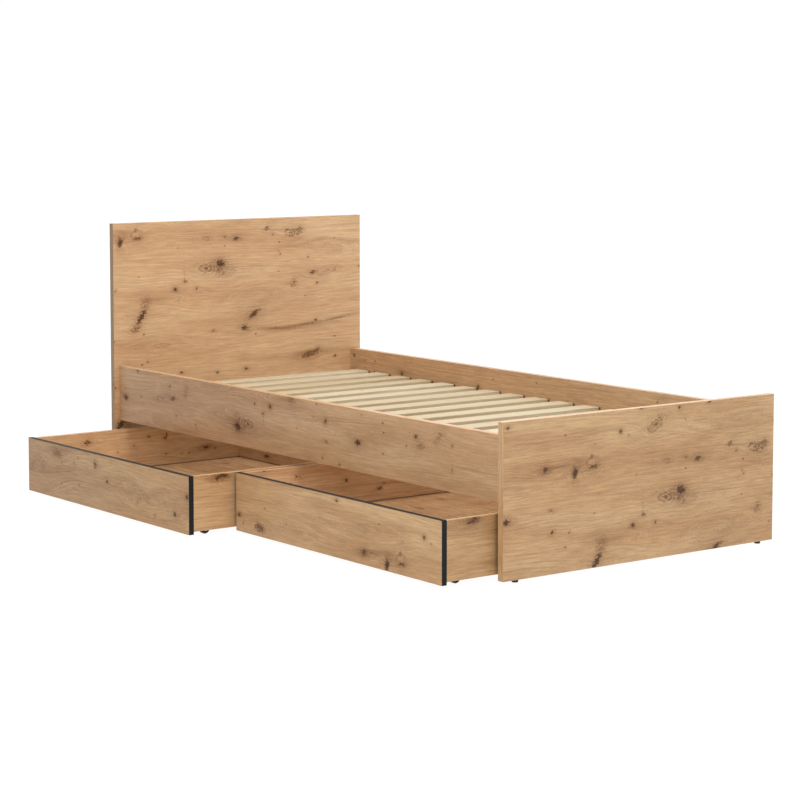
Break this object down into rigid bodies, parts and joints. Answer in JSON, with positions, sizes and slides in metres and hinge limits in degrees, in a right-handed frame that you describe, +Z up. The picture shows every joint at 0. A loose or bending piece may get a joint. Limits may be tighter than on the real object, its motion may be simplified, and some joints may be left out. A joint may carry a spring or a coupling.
{
  "type": "bed",
  "caption": "Single bed frame with a tall plain headboard, low footboard, side rails, a deck of pine slats and handle-less drawers on castors that roll out from under one side.",
  "frame": {"origin": "on the floor, under the centre of the box of the bed with its drawers open as stored", "axes": "+X from the headboard to the footboard, +Y from the drawer side to the far side, +Z up"},
  "size_m": [2.054, 1.332, 0.865],
  "materials": {
    "oak_laminate": "satin knotty light oak foil on particle board",
    "pine": "planed, untreated",
    "beech": "plain",
    "black_edging": "satin",
    "webbing": "woven tape",
    "zinc_plated_steel": "bright zinc plate",
    "zinc_cam": "cast, dull",
    "wheel_plastic": "satin",
    "glide_plastic": "satin"
  },
  "bodies": {
    "bed_frame": {"far_side_rail": "oak_laminate", "far_slat_ledger": "pine", "floor_glides": "glide_plastic", "footboard": "oak_laminate", "headboard": "oak_laminate", "near_side_rail": "oak_laminate", "near_slat_ledger": "pine", "rail_cam_bolts": "zinc_plated_steel", "rail_cams": "zinc_cam", "rail_dowels": "beech", "slat_01": "pine", "slat_02": "pine", "slat_03": "pine", "slat_04": "pine", "slat_05": "pine", "slat_06": "pine", "slat_07": "pine", "slat_08": "pine", "slat_09": "pine", "slat_10": "pine", "slat_11": "pine", "slat_12": "pine", "slat_13": "pine", "slat_14": "pine", "slat_15": "pine", "slat_16": "pine", "slat_tapes": "webbing", "wood_screws": "zinc_plated_steel"},
    "head_drawer": {"head_drawer_back": "oak_laminate", "head_drawer_bottom": "oak_laminate", "head_drawer_cam_bolts": "zinc_plated_steel", "head_drawer_cams": "zinc_cam", "head_drawer_castor_axles": "zinc_plated_steel", "head_drawer_castor_forks": "zinc_plated_steel", "head_drawer_castor_screws": "zinc_plated_steel", "head_drawer_dowels": "beech", "head_drawer_edge_bands": "black_edging", "head_drawer_foot_side": "oak_laminate", "head_drawer_front": "oak_laminate", "head_drawer_head_side": "oak_laminate"},
    "foot_drawer": {"foot_drawer_back": "oak_laminate", "foot_drawer_bottom": "oak_laminate", "foot_drawer_cam_bolts": "zinc_plated_steel", "foot_drawer_cams": "zinc_cam", "foot_drawer_castor_axles": "zinc_plated_steel", "foot_drawer_castor_forks": "zinc_plated_steel", "foot_drawer_castor_screws": "zinc_plated_steel", "foot_drawer_dowels": "beech", "foot_drawer_edge_bands": "black_edging", "foot_drawer_foot_side": "oak_laminate", "foot_drawer_front": "oak_laminate", "foot_drawer_head_side": "oak_laminate"},
    "foot_drawer_back_foot_wheel_body": {"foot_drawer_back_foot_wheel": "wheel_plastic"},
    "foot_drawer_back_head_wheel_body": {"foot_drawer_back_head_wheel": "wheel_plastic"},
    "foot_drawer_front_foot_wheel_body": {"foot_drawer_front_foot_wheel": "wheel_plastic"},
    "foot_drawer_front_head_wheel_body": {"foot_drawer_front_head_wheel": "wheel_plastic"},
    "head_drawer_back_foot_wheel_body": {"head_drawer_back_foot_wheel": "wheel_plastic"},
    "head_drawer_back_head_wheel_body": {"head_drawer_back_head_wheel": "wheel_plastic"},
    "head_drawer_front_foot_wheel_body": {"head_drawer_front_foot_wheel": "wheel_plastic"},
    "head_drawer_front_head_wheel_body": {"head_drawer_front_head_wheel": "wheel_plastic"}
  },
  "joints": [
    {"name": "head_drawer_slide", "type": "slide", "parent": "bed_frame", "child": "head_drawer", "axis": [0, -1, 0], "range_m": [-0.348, 0.372]},
    {"name": "foot_drawer_slide", "type": "slide", "parent": "bed_frame", "child": "foot_drawer", "axis": [0, -1, 0], "range_m": [-0.195, 0.525]},
    {"name": "head_drawer_back_foot_wheel_spin", "type": "hinge", "parent": "head_drawer", "child": "head_drawer_back_foot_wheel_body", "pos_m": [-0.068, 0.061, 0.015], "axis": [1, 0, 0], "continuous": true},
    {"name": "head_drawer_back_head_wheel_spin", "type": "hinge", "parent": "head_drawer", "child": "head_drawer_back_head_wheel_body", "pos_m": [-0.93, 0.061, 0.015], "axis": [1, 0, 0], "continuous": true},
    {"name": "head_drawer_front_foot_wheel_spin", "type": "hinge", "parent": "head_drawer", "child": "head_drawer_front_foot_wheel_body", "pos_m": [-0.068, -0.577, 0.015], "axis": [1, 0, 0], "continuous": true},
    {"name": "head_drawer_front_head_wheel_spin", "type": "hinge", "parent": "head_drawer", "child": "head_drawer_front_head_wheel_body", "pos_m": [-0.93, -0.577, 0.015], "axis": [1, 0, 0], "continuous": true},
    {"name": "foot_drawer_back_foot_wheel_spin", "type": "hinge", "parent": "foot_drawer", "child": "foot_drawer_back_foot_wheel_body", "pos_m": [0.93, 0.214, 0.015], "axis": [1, 0, 0], "continuous": true},
    {"name": "foot_drawer_back_head_wheel_spin", "type": "hinge", "parent": "foot_drawer", "child": "foot_drawer_back_head_wheel_body", "pos_m": [0.068, 0.214, 0.015], "axis": [1, 0, 0], "continuous": true},
    {"name": "foot_drawer_front_foot_wheel_spin", "type": "hinge", "parent": "foot_drawer", "child": "foot_drawer_front_foot_wheel_body", "pos_m": [0.93, -0.424, 0.015], "axis": [1, 0, 0], "continuous": true},
    {"name": "foot_drawer_front_head_wheel_spin", "type": "hinge", "parent": "foot_drawer", "child": "foot_drawer_front_head_wheel_body", "pos_m": [0.068, -0.424, 0.015], "axis": [1, 0, 0], "continuous": true}
  ],
  "couplings": [
    {"joint": "head_drawer_back_foot_wheel_spin", "follows": "head_drawer_slide", "rad_per_m": 66.667},
    {"joint": "head_drawer_back_head_wheel_spin", "follows": "head_drawer_slide", "rad_per_m": 66.667},
    {"joint": "head_drawer_front_foot_wheel_spin", "follows": "head_drawer_slide", "rad_per_m": 66.667},
    {"joint": "head_drawer_front_head_wheel_spin", "follows": "head_drawer_slide", "rad_per_m": 66.667},
    {"joint": "foot_drawer_back_foot_wheel_spin", "follows": "foot_drawer_slide", "rad_per_m": 66.667},
    {"joint": "foot_drawer_back_head_wheel_spin", "follows": "foot_drawer_slide", "rad_per_m": 66.667},
    {"joint": "foot_drawer_front_foot_wheel_spin", "follows": "foot_drawer_slide", "rad_per_m": 66.667},
    {"joint": "foot_drawer_front_head_wheel_spin", "follows": "foot_drawer_slide", "rad_per_m": 66.667}
  ]
}
